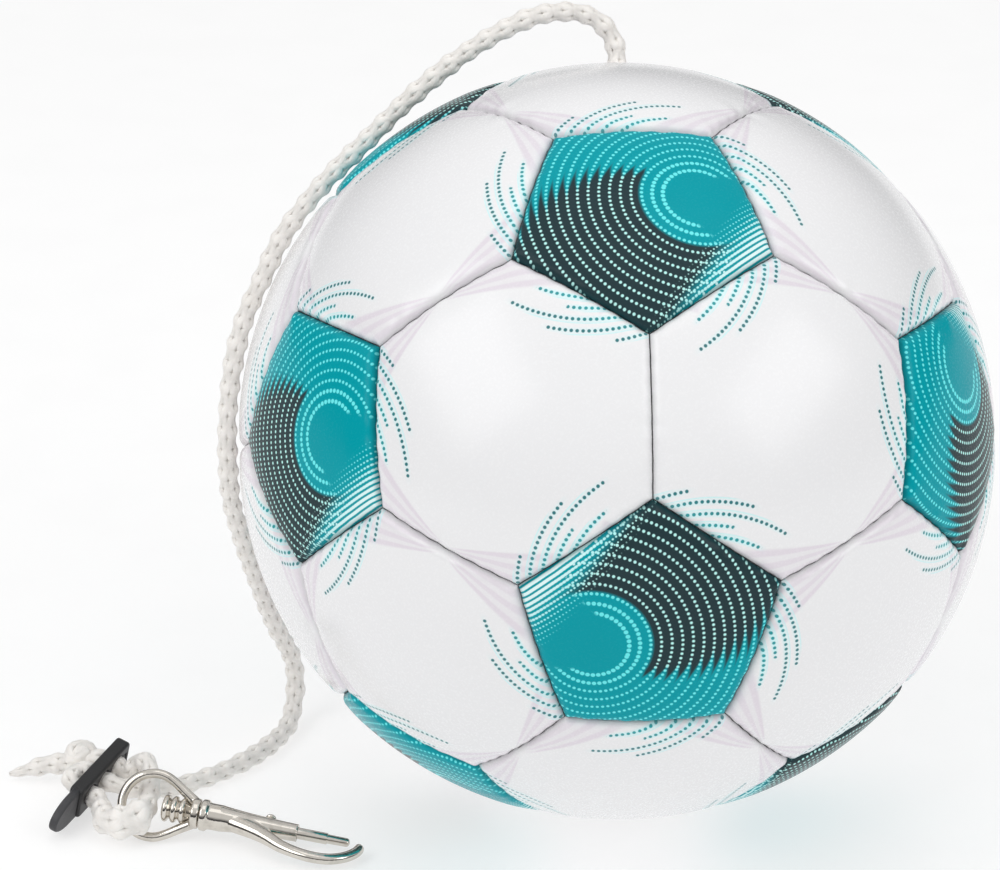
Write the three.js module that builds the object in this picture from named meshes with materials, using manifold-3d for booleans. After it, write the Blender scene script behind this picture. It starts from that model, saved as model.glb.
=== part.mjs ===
// Rope training football: a hand-stitched ball of 32 panels on a braided rope, with a rope slider,
// a stopper knot and a swivel snap hook. Millimetres, +Z up.
// The origin is the point of the ground that the ball stands on.
import * as THREE from 'three';
import { mergeVertices } from 'three/addons/utils/BufferGeometryUtils.js';
import Module from 'manifold-3d';

const wasm = await Module();
wasm.setup();

// ---------------------------------------------------------------- driving dimensions
const BALL_RADIUS = 110; // size 5 ball, 691 mm round
const CONTACT_SINK = 0.5; // how far the standing ball is pressed flat
const BALL_LEAN = 28.6; // degrees that the rope's seam lies behind the top of the ball
const EXIT_SHIFT = 2.6; // of the rope along its seam, from the seam's middle
const PANEL_INNER = 106; // inner radius of the cover
const SEAM_GROOVE = 1.9; // depth of the stitched seams
const PANEL_GAP = 0.3; // between neighbouring panels
const PANEL_RINGS = 3; // rings of facets from a panel's middle to its edge

const BLADDER_RADIUS = 105.3;
const BLADDER_WALL = 0.8;
const DIMPLE_DEPTH = 17; // where the anchor knot presses the bladder in
const DIMPLE_ANGLE = 20; // degrees from the dimple's middle to its rim

const VALVE_HOLE = 4.3;
const VALVE_STEM = 4.0;
const NEEDLE_HOLE = 0.9;

const ROPE_RADIUS = 3;
const ROPE_SIDES = 10;
const ROPE_STEP = 12; // two rope diameters
const LOOP_STEP = 4;
const TOUCH_GAP = 0.3; // between pieces that touch

const KNOT_RADIUS = 6;
const KNOT_DROP = 4; // the stopper knot hangs below its hole
const KNOT_THROAT = 1.9; // of rope between the knot and the slider
const ANCHOR_DISC_RADIUS = 15;
const ANCHOR_DISC_THICK = 2;

const SLIDER_LENGTH = 40;
const SLIDER_WIDTH = 11;
const SLIDER_THICK = 4.4;
const TONGUE_LENGTH = 14;
const TONGUE_THICK = 2.6;
const SLIDER_HOLE = 3.2;
const SLIDER_HOLES = [18.5, 26, 33.5]; // from the tip of the tongue: loop, long run, knot
const SLIDER_LEAN = 16; // degrees that its face leans down

const RING_RADIUS = 9.3; // to the middle of the eye's wire
const RING_WIRE = 1.4;
const RING_LEAN = 33; // degrees that the eye leans back
const HOOK_WIRE = 1.7;
const COLLAR = { from: 11.8, to: 14.2, radius: 4.5 }; // where the eye's wire meets the rivet
const SHANK_RADIUS = 1.9; // of the rivet
const BODY_BACK = 20; // inner face of the body's flange, where the rivet is headed over
const BORE_START = 22;
const BORE_END = 43.6;
const BOLT_RADIUS = 1.2;
const BOLT_PLAY = 0.45; // between the bolt and its bore
const KNOB_AT = 34.5; // the thumb knob, closed
const SPRING_RADIUS = 1.1;
const SPRING_TURNS = 5;
const SPRING_LENGTH = 9.8;
const BOLT_END = 59.2; // from the middle of the eye, closed
const BOLT_TRAVEL = 8;

const up = new THREE.Vector3(0, 0, 1);
const ballCentre = new THREE.Vector3(0, 0, BALL_RADIUS - CONTACT_SINK);

// ---------------------------------------------------------------- materials
const paint = (color, roughness, metalness = 0) =>
  new THREE.MeshStandardMaterial({ color, roughness, metalness });
const coverWhite = paint(0xf1f0f3, 0.28);
const coverTeal = paint(0x0a9fa8, 0.3);
const latex = paint(0x1d1d1f, 0.6);
const valveRubber = paint(0xd9d9d6, 0.5);
const ropeWhite = paint(0xe9e6df, 0.8);
const feltGrey = paint(0x8c8a86, 0.9);
const blackPlastic = paint(0x202124, 0.5);
const nickel = paint(0xc9c6bf, 0.22, 1);
const springSteel = paint(0x9a9a98, 0.35, 1);

// ---------------------------------------------------------------- solids
// A closed geometry as a manifold solid, turned so that its faces point out.
function solidOf(geometry) {
  const bare = new THREE.BufferGeometry();
  const source = geometry.index ? geometry.toNonIndexed() : geometry;
  bare.setAttribute('position', source.getAttribute('position'));
  const merged = mergeVertices(bare, 1e-3);
  const vertProperties = merged.attributes.position.array;
  const triVerts = Uint32Array.from(merged.index.array);
  const solid = new wasm.Manifold(new wasm.Mesh({ numProp: 3, vertProperties, triVerts }));
  if (solid.volume() > 0) return solid;
  const turned = triVerts.map((_, i) => triVerts[i - (i % 3) + 2 - (i % 3)]);
  return new wasm.Manifold(new wasm.Mesh({ numProp: 3, vertProperties, triVerts: turned }));
}

function geometryOf(solid) {
  const { numProp, vertProperties, triVerts } = solid.getMesh();
  const positions = new Float32Array(triVerts.length * 3);
  triVerts.forEach((v, i) => {
    for (let k = 0; k < 3; k += 1) positions[i * 3 + k] = vertProperties[v * numProp + k];
  });
  const geometry = new THREE.BufferGeometry();
  geometry.setAttribute('position', new THREE.BufferAttribute(positions, 3));
  geometry.computeVertexNormals();
  return geometry;
}

const joined = (...parts) => parts.map(solidOf).reduce((a, b) => a.add(b));

const part = new THREE.Group();
function piece(name, shape, material, parent = part) {
  const solid = shape.isBufferGeometry ? solidOf(shape) : shape;
  const mesh = new THREE.Mesh(geometryOf(solid), material);
  mesh.name = name;
  parent.add(mesh);
  return mesh;
}

// A matrix whose Z axis points along a direction.
function pointing(direction, origin) {
  const turn = new THREE.Quaternion().setFromUnitVectors(up, direction.clone().normalize());
  return new THREE.Matrix4().compose(origin, turn, new THREE.Vector3(1, 1, 1));
}

// A solid of revolution about Z from [radius, height] pairs that run from axis to axis or close.
function turned(profile, sides) {
  return new THREE.LatheGeometry(profile.map(([r, z]) => new THREE.Vector2(r, z)), sides)
    .rotateX(Math.PI / 2);
}

function rod(radius, from, to, sides = 16) {
  return turned([[0, from], [radius, from], [radius, to], [0, to]], sides);
}

function circle(radius, sides) {
  const outline = new THREE.Shape();
  for (let i = 0; i < sides; i += 1) {
    const a = (i / sides) * 2 * Math.PI;
    outline[i ? 'lineTo' : 'moveTo'](radius * Math.cos(a), radius * Math.sin(a));
  }
  outline.closePath();
  return outline;
}

function tube(points, radius, step, sides = ROPE_SIDES, closed = false) {
  const route = new THREE.CatmullRomCurve3(points, closed, 'centripetal');
  const steps = Math.max(2, Math.round(route.getLength() / step));
  return new THREE.ExtrudeGeometry(circle(radius, sides), { extrudePath: route, steps });
}

// ---------------------------------------------------------------- the ball's own frame
// Icosahedron directions, with a seam upright in front and the rope's seam on top, leant back.
const golden = (1 + Math.sqrt(5)) / 2;
const lean = THREE.MathUtils.degToRad(BALL_LEAN);
const ropeWay = new THREE.Vector3(0, Math.sin(lean), Math.cos(lean));
const frontWay = new THREE.Vector3(0, -Math.cos(lean), Math.sin(lean));

const exitWay = ropeWay.clone().setX(EXIT_SHIFT / BALL_RADIUS).normalize();

function fromBallFrame(x, y, z) {
  return new THREE.Vector3(x, 0, 0).addScaledVector(ropeWay, y).addScaledVector(frontWay, z);
}

const starPoints = [];
for (const s of [1, -1]) {
  for (const t of [1, -1]) {
    starPoints.push(fromBallFrame(0, s, t * golden));
    starPoints.push(fromBallFrame(s, t * golden, 0));
    starPoints.push(fromBallFrame(s * golden, 0, t));
  }
}
const isEdge = (a, b) => Math.abs(a.distanceTo(b) - 2) < 0.01;

function sortedAround(middle, corners) {
  const side = new THREE.Vector3().crossVectors(middle, corners[0]).normalize();
  const front = new THREE.Vector3().crossVectors(side, middle).normalize();
  const angle = (c) => Math.atan2(c.dot(side), c.dot(front));
  return [...corners].sort((p, q) => angle(p) - angle(q));
}

const seamCorner = (near, far) => near.clone().multiplyScalar(2).add(far).normalize();

function pentagonOutline(vertex) {
  const corners = starPoints.filter((p) => isEdge(vertex, p)).map((p) => seamCorner(vertex, p));
  const middle = vertex.clone().normalize();
  return { middle, corners: sortedAround(middle, corners) };
}

function hexagonOutline(triangle) {
  const corners = [];
  for (const a of triangle) for (const b of triangle) if (a !== b) corners.push(seamCorner(a, b));
  const middle = triangle[0].clone().add(triangle[1]).add(triangle[2]).normalize();
  return { middle, corners: sortedAround(middle, corners) };
}

// ---------------------------------------------------------------- cover panels
// A curved, pillowed panel: facets in rings from its middle to its edge, on the outside and inside.
function panelSolid({ middle, corners }) {
  const edgeMiddle = corners[0].clone().add(corners[1]).normalize();
  const halfWidth = BALL_RADIUS * middle.angleTo(edgeMiddle);
  const shrink = 1 - PANEL_GAP / 2 / halfWidth;
  const rim = corners.map((c) => middle.clone().lerp(c, shrink));
  const n = PANEL_RINGS;
  const outerRadius = (ring) => BALL_RADIUS - SEAM_GROOVE * (ring / n) ** 5;
  const positions = [];
  const place = (direction, radius) => direction.clone().normalize().multiplyScalar(radius)
    .add(ballCentre);
  const face = (...points) => points.forEach((p) => positions.push(p.x, p.y, p.z));

  rim.forEach((a, i) => {
    const b = rim[(i + 1) % rim.length];
    const at = (ring, along) => middle.clone().multiplyScalar(n - ring)
      .addScaledVector(a, ring - along).addScaledVector(b, along);
    const outer = (ring, along) => place(at(ring, along), outerRadius(ring));
    const inner = (ring, along) => place(at(ring, along), PANEL_INNER);
    for (let ring = 0; ring < n; ring += 1) {
      for (let k = 0; k <= ring; k += 1) {
        face(outer(ring, k), outer(ring + 1, k), outer(ring + 1, k + 1));
        face(inner(ring, k), inner(ring + 1, k + 1), inner(ring + 1, k));
        if (k < ring) {
          face(outer(ring, k), outer(ring + 1, k + 1), outer(ring, k + 1));
          face(inner(ring, k), inner(ring, k + 1), inner(ring + 1, k + 1));
        }
      }
    }
    for (let k = 0; k < n; k += 1) {
      face(outer(n, k), inner(n, k), inner(n, k + 1));
      face(outer(n, k), inner(n, k + 1), outer(n, k + 1));
    }
  });
  const geometry = new THREE.BufferGeometry();
  geometry.setAttribute('position', new THREE.BufferAttribute(new Float32Array(positions), 3));
  return solidOf(geometry);
}

// The ground under the ball, the rope's way out of its seam, and the valve's hole.
const ground = solidOf(new THREE.BoxGeometry(300, 300, 40).translate(0, 0, -20));
const ropeHole = solidOf(rod(ROPE_RADIUS + 0.6, 90, 130)
  .applyMatrix4(pointing(exitWay, ballCentre)));
const valveWay = fromBallFrame(1, 1, -1).normalize();
const valveHole = solidOf(rod(VALVE_HOLE, 90, 130)
  .applyMatrix4(pointing(valveWay, ballCentre)));

function buildPanels() {
  const numbered = (base, i) => `${base}_${String(i + 1).padStart(2, '0')}`;
  const trimmed = (solid) => solid.subtract(ground).subtract(ropeHole).subtract(valveHole);
  starPoints.forEach((vertex, i) => {
    piece(numbered('pentagon_panel', i), trimmed(panelSolid(pentagonOutline(vertex))), coverTeal);
  });
  const triangles = [];
  starPoints.forEach((a, i) => starPoints.slice(i + 1).forEach((b, j) => {
    if (!isEdge(a, b)) return;
    for (const c of starPoints.slice(i + j + 2)) {
      if (isEdge(a, c) && isEdge(b, c)) triangles.push([a, b, c]);
    }
  }));
  triangles.forEach((triangle, i) => {
    piece(numbered('hexagon_panel', i), trimmed(panelSolid(hexagonOutline(triangle))), coverWhite);
  });
}

// ---------------------------------------------------------------- bladder, valve, anchor
function bladderSkin(radius) {
  const rows = 16;
  const profile = [];
  for (let i = 0; i <= rows; i += 1) {
    const angle = 180 * (i / rows) ** 1.35;
    const dip = angle < DIMPLE_ANGLE ? (1 + Math.cos((Math.PI * angle) / DIMPLE_ANGLE)) / 2 : 0;
    const r = radius - DIMPLE_DEPTH * dip;
    const a = THREE.MathUtils.degToRad(angle);
    profile.push([i % rows ? r * Math.sin(a) : 0, r * Math.cos(a)]);
  }
  return solidOf(turned(profile, 24).applyMatrix4(pointing(exitWay, ballCentre)));
}

function buildInside() {
  const mouth = solidOf(rod(VALVE_STEM, 80, 130).applyMatrix4(pointing(valveWay, ballCentre)));
  const skin = bladderSkin(BLADDER_RADIUS).subtract(bladderSkin(BLADDER_RADIUS - BLADDER_WALL));
  piece('bladder', skin.subtract(mouth), latex);

  // A rubber plug: its button fills the panel's hole and its stem stands in the bladder's mouth.
  const neck = VALVE_STEM - TOUCH_GAP;
  const valve = turned([
    [NEEDLE_HOLE, 98], [neck, 98], [neck, 109.4], [NEEDLE_HOLE + 0.8, 109.4],
    [NEEDLE_HOLE, 108.6], [NEEDLE_HOLE, 98],
  ], 20);
  piece('inflation_valve', valve.applyMatrix4(pointing(valveWay, ballCentre)), valveRubber);

  const discTop = PANEL_INNER - 1.7;
  const disc = turned([
    [ROPE_RADIUS + 0.5, discTop - ANCHOR_DISC_THICK], [ANCHOR_DISC_RADIUS, discTop - ANCHOR_DISC_THICK],
    [ANCHOR_DISC_RADIUS, discTop], [ROPE_RADIUS + 0.5, discTop],
    [ROPE_RADIUS + 0.5, discTop - ANCHOR_DISC_THICK],
  ], 24);
  piece('anchor_disc', disc.applyMatrix4(pointing(exitWay, ballCentre)), feltGrey);

  const knotTop = discTop - ANCHOR_DISC_THICK - TOUCH_GAP;
  const knot = new THREE.SphereGeometry(KNOT_RADIUS + 0.4, 14, 10)
    .translate(0, 0, knotTop - KNOT_RADIUS - 0.4);
  const shank = rod(ROPE_RADIUS, knotTop - 3, BALL_RADIUS - 0.2, ROPE_SIDES);
  const anchor = joined(knot, shank).transform(pointing(exitWay, ballCentre).elements);
  piece('anchor_knot', anchor, ropeWhite);
}

// ---------------------------------------------------------------- rope slider
// Its frame: X along it from the tip of the tongue, Z along the rope holes, towards the hook.
const sliderTip = new THREE.Vector3(-166.1, -37, 5.3);
const sliderEnd = new THREE.Vector3(-147, -3.5, 10.3);
const alongSlider = sliderEnd.clone().sub(sliderTip).normalize();
const levelFace = new THREE.Vector3().crossVectors(alongSlider, up).normalize();
const holeWay = levelFace.applyAxisAngle(alongSlider, THREE.MathUtils.degToRad(SLIDER_LEAN));
const acrossSlider = new THREE.Vector3().crossVectors(holeWay, alongSlider);

function buildSlider() {
  const half = SLIDER_WIDTH / 2;
  const corner = 1.6;
  const neck = TONGUE_LENGTH - 2;
  const body = new THREE.Shape();
  body.moveTo(TONGUE_LENGTH, -half);
  body.lineTo(SLIDER_LENGTH - corner, -half);
  body.lineTo(SLIDER_LENGTH, corner - half);
  body.lineTo(SLIDER_LENGTH, half - corner);
  body.lineTo(SLIDER_LENGTH - corner, half);
  body.lineTo(TONGUE_LENGTH, half);
  body.lineTo(neck, half - corner);
  body.lineTo(neck, corner - half);
  body.closePath();
  for (const x of SLIDER_HOLES) {
    const hole = new THREE.Path();
    hole.absarc(x, 0, SLIDER_HOLE, 0, 2 * Math.PI, true);
    body.holes.push(hole);
  }
  const slot = new THREE.Path();
  slot.moveTo(SLIDER_LENGTH - 2.8, -1.8);
  slot.lineTo(SLIDER_LENGTH - 2.8, 1.8);
  slot.lineTo(SLIDER_LENGTH - 1.6, 1.8);
  slot.lineTo(SLIDER_LENGTH - 1.6, -1.8);
  slot.closePath();
  body.holes.push(slot);

  const tongue = new THREE.Shape();
  tongue.moveTo(neck + 1, half - 0.8);
  tongue.lineTo(half, half - 0.5);
  tongue.absarc(half - 0.5, 0, half - 0.5, Math.PI / 2, 1.5 * Math.PI, false);
  tongue.lineTo(neck + 1, 0.8 - half);
  tongue.closePath();

  const plate = (shape, thick) => new THREE.ExtrudeGeometry(shape, {
    depth: thick, bevelEnabled: false, curveSegments: 12,
  }).translate(0, 0, -thick / 2);
  const frame = new THREE.Matrix4().makeBasis(alongSlider, acrossSlider, holeWay)
    .setPosition(sliderTip);
  const slider = joined(plate(body, SLIDER_THICK), plate(tongue, TONGUE_THICK));
  piece('rope_slider', slider.transform(frame.elements), blackPlastic);
}

// A point on the axis of one of the slider's rope holes, so far out of its middle plane.
function atHole(index, out) {
  return sliderTip.clone().addScaledVector(alongSlider, SLIDER_HOLES[index])
    .addScaledVector(holeWay, out);
}

// ---------------------------------------------------------------- the snap hook's frames
// Hook frame: X from the middle of the eye to the hook's tip, Y level, away from the jaw, Z up.
const eyeCentre = new THREE.Vector3(-136.6, -33.2, 9.6);
const boltTip = new THREE.Vector3(-79.9, -46.5, 3.4);
const hookWay = boltTip.clone().sub(eyeCentre).normalize();
const hookSide = new THREE.Vector3().crossVectors(up, hookWay).normalize();
const hookUp = new THREE.Vector3().crossVectors(hookWay, hookSide);
const hookFrame = new THREE.Matrix4().makeBasis(hookWay, hookSide, hookUp)
  .setPosition(eyeCentre);
const hook = new THREE.Group();
hookFrame.decompose(hook.position, hook.quaternion, hook.scale);
part.add(hook);

// Eye frame: the hook frame leant back, so that the eye's wire lies in its XZ plane.
const eyeLean = new THREE.Matrix4().makeRotationX(-THREE.MathUtils.degToRad(RING_LEAN));
const eyeFrame = hookFrame.clone().multiply(eyeLean);

// ---------------------------------------------------------------- rope
const sliderFace = SLIDER_THICK / 2 + TOUCH_GAP + 0.2; // where the rope's pieces start and end
const knotOut = sliderFace + KNOT_RADIUS + KNOT_THROAT;
const points = (rows) => rows.map((row) => new THREE.Vector3(...row));

function buildRope() {
  // Out of the seam, over the ball's shoulder, down its left side, and forward on the ground.
  const seam = ballCentre.clone().addScaledVector(exitWay, BALL_RADIUS + TOUCH_GAP);
  const run = [
    seam,
    ...points([
      [2.6, 55, 210], [1.3, 56.7, 214.2], [-2.3, 58, 218.4], [-7.9, 58.3, 221.1],
      [-19, 55.2, 222], [-30.5, 51, 218.9], [-44.4, 46, 211.8], [-58.3, 40, 202.2],
      [-70.9, 34.8, 191.4], [-84.8, 28.8, 179.2], [-95.8, 23, 166.6], [-102.5, 18, 154.4],
      [-107.8, 13.6, 143.6], [-111, 10, 131.8], [-112.8, 6.6, 118.8], [-113.2, 5, 104.7],
      [-112.4, 7, 88.8], [-108.6, 13, 70.6], [-104, 21, 51], [-99.4, 28.4, 34.5],
      [-95.2, 34.6, 21.5], [-94.3, 35.4, 15.2], [-94.4, 33.2, 9.1], [-95.5, 28.5, 4.8],
      [-97.2, 22.5, 3.3], [-101.8, 13.4, 3.2], [-108, 5, 3.2], [-115.2, -2, 3.2],
      [-123, -7.8, 3.2], [-130.4, -12.2, 3.4], [-137.4, -15.6, 4.6], [-142.2, -17.2, 5.7],
      [-146.8, -17.2, 6.9],
    ]),
    atHole(1, sliderFace),
  ];
  piece('rope_main', tube(run, ROPE_RADIUS, ROPE_STEP), ropeWhite);

  // On the slider's back the rope turns from its middle hole into its lower hole.
  const bight = [];
  const turn = (SLIDER_HOLES[1] - SLIDER_HOLES[0]) / 2;
  const bend = atHole(0, -sliderFace).lerp(atHole(1, -sliderFace), 0.5);
  for (let a = 0; a <= 180; a += 30) {
    const angle = THREE.MathUtils.degToRad(a);
    bight.push(bend.clone().addScaledVector(alongSlider, turn * Math.cos(angle))
      .addScaledVector(holeWay, -turn * Math.sin(angle)));
  }
  piece('rope_bight', tube(bight, ROPE_RADIUS, 2), ropeWhite);

  // From the lower hole round the eye's wire, back through the eye, and over the long run.
  const inEye = (rows) => points(rows).map((p) => p.applyMatrix4(eyeFrame));
  const loop = [
    atHole(0, sliderFace),
    ...inEye([
      [-16.4, 5.8, -1.7], [-14.2, 0.8, -3.1], [-11.8, -4.3, -3.1], [-7.2, -6.3, -2.2],
      [-3.3, -4, -0.8], [-2.4, 0.2, 0.4], [-2.6, 4.8, 3], [-3.5, 8.7, 7.2], [-6, 12.4, 11.6],
      [-9.6, 16.3, 12],
    ]),
    atHole(2, sliderFace + 3.5),
    atHole(2, sliderFace),
  ];
  piece('rope_loop', tube(loop, ROPE_RADIUS, LOOP_STEP), ropeWhite);

  const knotCentre = atHole(2, -knotOut).addScaledVector(up, -KNOT_DROP);
  const knot = new THREE.SphereGeometry(KNOT_RADIUS, 16, 12).translate(...knotCentre);
  const throat = tube([atHole(2, -sliderFace), atHole(2, -sliderFace - 2), knotCentre],
    ROPE_RADIUS, LOOP_STEP / 2);
  piece('stopper_knot', joined(knot, throat), ropeWhite);

  // The tail end is melted to a blunt taper and droops to the ground.
  const tailTip = new THREE.Vector3(-180.6, -0.8, 2.4);
  const tailWay = tailTip.clone().sub(knotCentre).normalize();
  const reach = tailTip.distanceTo(knotCentre);
  const tail = turned([
    [0, KNOT_RADIUS + TOUCH_GAP], [ROPE_RADIUS, KNOT_RADIUS + TOUCH_GAP], [ROPE_RADIUS, reach - 10],
    [2.4, reach - 3], [1.2, reach], [0, reach],
  ], ROPE_SIDES);
  piece('rope_tail', tail.applyMatrix4(pointing(tailWay, knotCentre)), ropeWhite);
}

// ---------------------------------------------------------------- snap hook
const alongHook = (geometry) => geometry.rotateY(Math.PI / 2);
const hookRod = (radius, from, to, sides) => alongHook(rod(radius, from, to, sides));

function buildHook() {
  // The eye: a wire bow whose ends run into a collar.
  const bow = [];
  bow.push([COLLAR.from + 0.8, 3.3], [10.4, 5.7]);
  for (let a = 52; a <= 308; a += 32) {
    const angle = THREE.MathUtils.degToRad(a);
    bow.push([RING_RADIUS * Math.cos(angle), RING_RADIUS * Math.sin(angle)]);
  }
  bow.push([10.4, -5.7], [COLLAR.from + 0.8, -3.3]);
  const wire = tube(bow.map(([x, z]) => new THREE.Vector3(x, 0, z)), RING_WIRE, 3, 10);
  const collarHole = solidOf(hookRod(SHANK_RADIUS + 0.3, 0, 30, 20));
  const eye = joined(wire, hookRod(COLLAR.radius, COLLAR.from, COLLAR.to, 24))
    .subtract(collarHole);
  piece('swivel_eye', eye.transform(eyeLean.elements), nickel, hook);

  // The rivet: a ribbed head inside the eye, and a shank through the collar into the body.
  const rivet = alongHook(turned([
    [0, 3.2], [3.6, 3.2], [4.1, 3.6], [4.1, 4.8], [2.9, 5.2], [2.9, 5.6], [4, 6], [4, 7.2],
    [2.9, 7.6], [2.9, 8], [3.7, 8.4], [3.7, 9.4], [2.4, 9.8], [2.4, 11.2], [SHANK_RADIUS, 11.5],
    [SHANK_RADIUS, BODY_BACK - 0.5], [0, BODY_BACK - 0.5],
  ], 20));
  piece('swivel_rivet', rivet, nickel, hook);

  // The body: flange, barrel with the bolt's bore, thumb slot, and the J jaw.
  const bore = BOLT_RADIUS + BOLT_PLAY;
  const barrel = alongHook(turned([
    [0, BODY_BACK], [SHANK_RADIUS + TOUCH_GAP, BODY_BACK], [SHANK_RADIUS + TOUCH_GAP, 14.5],
    [4.5, 14.5], [4.6, 16.4], [3.9, 17], [3.9, 20], [3.4, 25], [3, 31], [2.7, 38],
    [2.6, BORE_END], [bore, BORE_END], [bore, BORE_START], [0, BORE_START],
  ], 20));
  const jaw = tube(points([
    [25, -1.2, 0], [30, -3, 0], [35, -5.4, 0], [40, -8.2, -0.2], [45, -10, -0.2],
    [50, -10.8, -0.2], [55, -10.2, -0.2], [59, -8, -0.1], [61.4, -5, 0], [62, -2.4, 0],
  ]), HOOK_WIRE, 2.6, 10);
  const thumbSlot = solidOf(new THREE.BoxGeometry(BOLT_TRAVEL + 2.6, 6, 1.9)
    .translate(KNOB_AT - BOLT_TRAVEL / 2, 3, 0));
  const boltWay = solidOf(hookRod(bore, BORE_START, 60, 20));
  const body = joined(barrel, jaw).subtract(thumbSlot).subtract(boltWay);
  piece('hook_body', body, nickel, hook);

  const bolt = alongHook(turned([
    [0, 33], [BOLT_RADIUS, 33], [BOLT_RADIUS, 52.6], [0.9, 53], [0.9, BOLT_END - 0.6],
    [0.5, BOLT_END], [0, BOLT_END],
  ], 16));
  piece('spring_bolt', bolt, nickel, hook);

  const knob = turned([[0, 1.5], [0.7, 1.5], [0.7, 3.4], [2, 3.6], [2, 4.6], [1.4, 5.2], [0, 5.2]], 16)
    .rotateX(-Math.PI / 2).translate(KNOB_AT, 0, 0);
  piece('thumb_knob', knob, nickel, hook);

  const coils = [];
  const steps = SPRING_TURNS * 8;
  for (let i = 0; i <= steps; i += 1) {
    const a = (i / 8) * 2 * Math.PI;
    coils.push(new THREE.Vector3(BORE_START + 2 * TOUCH_GAP + (SPRING_LENGTH * i) / steps,
      SPRING_RADIUS * Math.cos(a), SPRING_RADIUS * Math.sin(a)));
  }
  piece('bolt_spring', tube(coils, 0.25, 0.9, 6), springSteel, hook);
}

buildPanels();
buildInside();
buildSlider();
buildRope();
buildHook();

export default part;
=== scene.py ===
import math

import bmesh
import bpy
import numpy as np
from mathutils import Matrix, Vector


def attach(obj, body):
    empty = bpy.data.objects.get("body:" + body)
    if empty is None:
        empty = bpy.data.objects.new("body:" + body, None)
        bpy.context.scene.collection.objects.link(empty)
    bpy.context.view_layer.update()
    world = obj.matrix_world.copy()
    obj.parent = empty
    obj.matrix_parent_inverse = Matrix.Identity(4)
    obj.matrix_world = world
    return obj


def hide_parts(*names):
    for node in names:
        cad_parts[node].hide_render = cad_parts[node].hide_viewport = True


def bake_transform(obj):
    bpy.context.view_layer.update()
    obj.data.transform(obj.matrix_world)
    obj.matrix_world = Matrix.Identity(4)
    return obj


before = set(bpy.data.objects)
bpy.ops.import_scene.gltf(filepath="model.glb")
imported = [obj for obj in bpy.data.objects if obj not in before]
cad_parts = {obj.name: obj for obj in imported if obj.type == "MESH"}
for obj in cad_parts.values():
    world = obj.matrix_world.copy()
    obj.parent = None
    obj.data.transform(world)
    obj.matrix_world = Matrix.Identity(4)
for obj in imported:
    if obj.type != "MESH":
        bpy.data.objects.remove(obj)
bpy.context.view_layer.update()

# ---------------------------------------------------------------- dimensions, in millimetres
# Everything is worked out in the CAD frame in millimetres, and MM turns it into Blender's metres.
MM = 0.001
BALL_RADIUS = 110.0
CONTACT_SINK = 0.5  # how far the standing ball is pressed flat
BALL_LEAN = 28.6  # degrees that the rope's seam lies behind the top
EXIT_SHIFT = 2.6  # of the rope along its seam
COVER_INNER = 106.2
SEAM_DEPTH = 2.0
SEAM_LIP = 2.8  # how far from the seam a panel starts to round over
SEAM_GAP = 0.27
SLOPE_DEPTH, SLOPE_REACH = 0.75, 5.0  # a panel slopes down to its seams
BULGE_REACH = 9.0
TEAL_BULGE, WHITE_BULGE = 0.35, 0.1
STITCHES = 8  # along one seam
PULL_DEPTH, PULL_REACH = 0.34, 2.2  # a stitch pulls the panel's edge in
WRINKLE_DEPTH, WRINKLE_REACH = 0.13, 6.0
THREAD_RADIUS = 0.42
PANEL_RINGS = 40
DISH_DEPTH, DISH_RADIUS, DISH_EDGE = 2.2, 4.6, 0.9  # round the valve
SLIT_HALF_LENGTH = 6.5  # of the seam's opening for the rope
SLIT_GAP = 0.35
FLOOR_GAP = 0.02

ROPE_RADIUS = 3.0
BRAID_PITCH = 26.0  # one turn of a strand
TOUCH_GAP = 0.3

ROOT, EYE, HOOK, BOLT = "ball_and_rope", "eye", "hook", "bolt"


def unit(v):
    return v / np.linalg.norm(v)


def units(rows):
    return rows / np.linalg.norm(rows, axis=1)[:, None]


def vec(*values):
    return np.array(values, float)


# ---------------------------------------------------------------- the ball's own frame
ball_centre = vec(0, 0, BALL_RADIUS - CONTACT_SINK)
lean = math.radians(BALL_LEAN)
rope_way = vec(0, math.sin(lean), math.cos(lean))
front_way = vec(0, -math.cos(lean), math.sin(lean))
golden = (1 + math.sqrt(5)) / 2


def from_ball_frame(x, y, z):
    return vec(x, 0, 0) + y * rope_way + z * front_way


exit_way = unit(rope_way + vec(EXIT_SHIFT / BALL_RADIUS, 0, 0))
valve_way = unit(from_ball_frame(1, 1, -1))
stars = []
for s in (1, -1):
    for t in (1, -1):
        stars.append(from_ball_frame(0, s, t * golden))
        stars.append(from_ball_frame(s, t * golden, 0))
        stars.append(from_ball_frame(s * golden, 0, t))


def is_edge(a, b):
    return abs(np.linalg.norm(stars[a] - stars[b]) - 2) < 0.01


neighbours = [[j for j in range(12) if is_edge(i, j)] for i in range(12)]


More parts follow.
